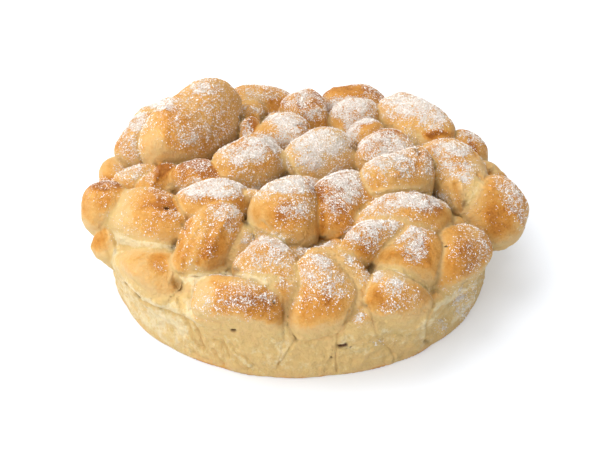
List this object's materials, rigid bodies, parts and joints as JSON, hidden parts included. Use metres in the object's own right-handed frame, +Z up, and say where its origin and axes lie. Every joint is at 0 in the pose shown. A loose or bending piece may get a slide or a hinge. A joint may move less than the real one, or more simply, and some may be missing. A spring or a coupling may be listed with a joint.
{
  "type": "pull-apart bread",
  "caption": "Round pull-apart bread: puffed dough pieces grown together over a low tin-baked wall, dusted with icing sugar.",
  "frame": {"origin": "middle of the flat underside, on the axis of the round tin that the loaf was baked in", "axes": "+Z up along the tin's axis; the pictured side faces -Y, and +X is to the picture's right"},
  "size_m": [0.2878, 0.2704, 0.0995],
  "materials": {
    "crust": "matte baked crust, golden brown on the crests and pale in the creases and on the wall"
  },
  "bodies": {
    "root": {"loaf": "crust"}
  },
  "joints": []
}
